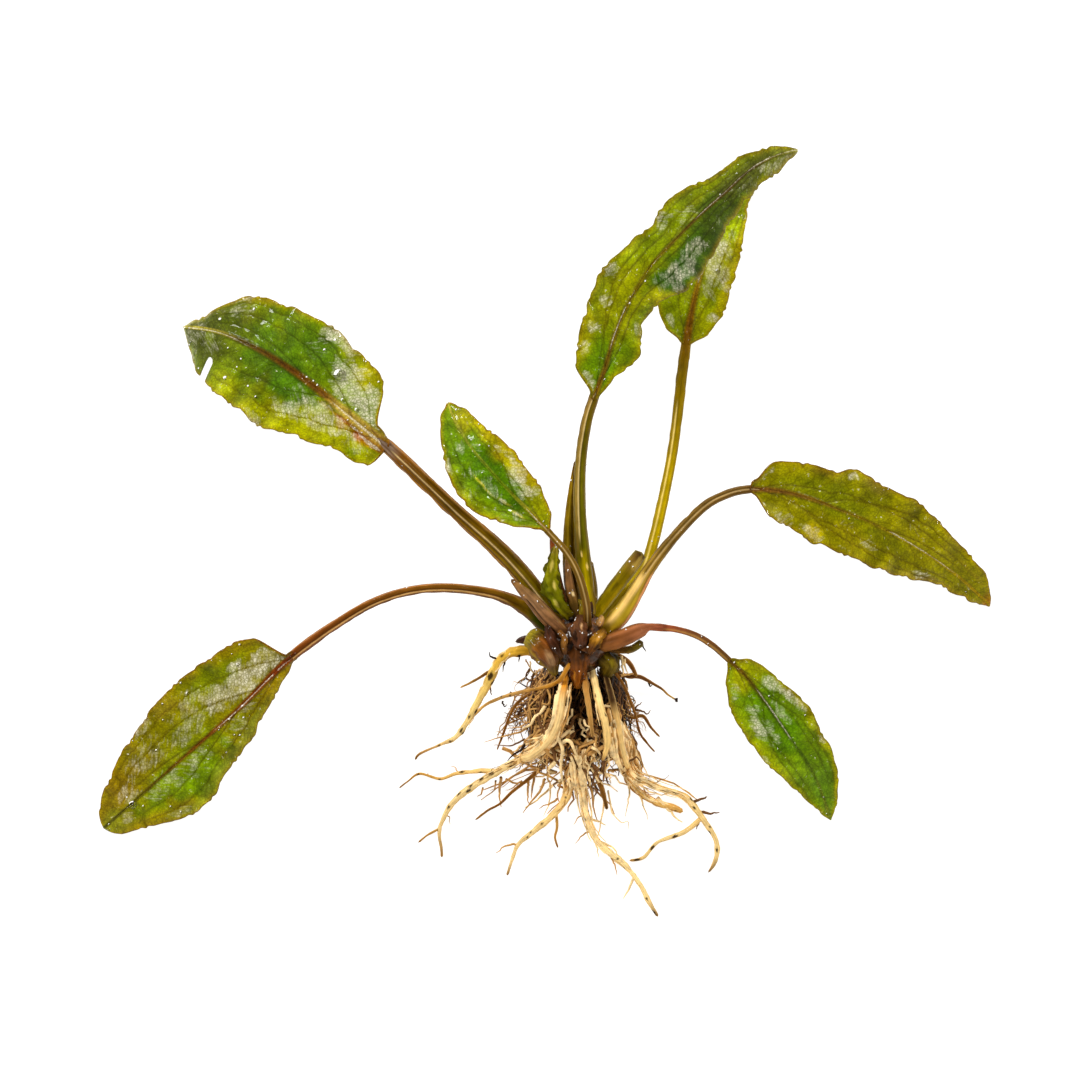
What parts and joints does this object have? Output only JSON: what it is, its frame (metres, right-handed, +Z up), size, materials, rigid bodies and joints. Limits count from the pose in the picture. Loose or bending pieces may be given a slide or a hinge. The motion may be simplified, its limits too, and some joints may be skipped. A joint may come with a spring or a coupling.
{
  "type": "bare-rooted cryptocoryne plant",
  "caption": "Bare-rooted cryptocoryne water plant lying flat, with long wavy green leaves on arching stalks and a tangle of pale and dark roots.",
  "frame": {"origin": "on the surface that the plant rests on, at the root mass's flat underside", "axes": "+X to the plant's right, along its widest spread of leaves; +Y from the roots towards the leaf tips; +Z up from the surface"},
  "size_m": [0.1789, 0.1528, 0.0267],
  "materials": {
    "leaf": "wet, glossy green leaf with darker veins",
    "stalk": "wet, ribbed olive-brown stalk",
    "sheath": "thin, brown, slightly shiny leaf sheath",
    "rhizome": "dark, wet, lumpy stem",
    "root_mass": "tangle of fine dark roots",
    "root_pale": "cream root with dark nodes",
    "root_brown": "thin brown root"
  },
  "bodies": {
    "root": {"rhizome": "rhizome", "root_mass": "root_mass", "leaf_lower_left": "leaf", "leaf_upper_left": "leaf", "leaf_front": "leaf", "leaf_top": "leaf", "leaf_back": "leaf", "leaf_right": "leaf", "leaf_lower_right": "leaf", "leaf_spear": "leaf", "leaf_young": "leaf", "stalk_lower_left": "stalk", "stalk_upper_left": "stalk", "stalk_front": "stalk", "stalk_top": "stalk", "stalk_back": "stalk", "stalk_right": "stalk", "stalk_lower_right": "stalk", "stalk_cut": "stalk", "sheath_upper_left": "sheath", "sheath_back": "sheath", "sheath_middle": "sheath", "sheath_right": "sheath", "sheath_lower_left": "sheath", "stub_left": "sheath", "stub_right": "sheath", "old_leaf_foot": "sheath", "root_left_yellow": "root_pale", "root_left_yellow_fork": "root_pale", "root_left_golden": "root_pale", "root_left_main": "root_pale", "root_left_main_fork": "root_pale", "root_left_main_tip_fork": "root_pale", "root_left_fine": "root_brown", "root_lower_left": "root_pale", "root_lower_left_fork": "root_pale", "root_lower_left_fine": "root_brown", "root_centre": "root_pale", "root_centre_short": "root_pale", "root_front": "root_pale", "root_front_thin": "root_pale", "root_right_main": "root_pale", "root_right_lower": "root_pale", "root_right_curled": "root_pale", "root_right_brown": "root_brown", "root_right_stub": "root_brown", "root_right_fine": "root_brown", "root_right_twig": "root_brown"}
  },
  "joints": []
}
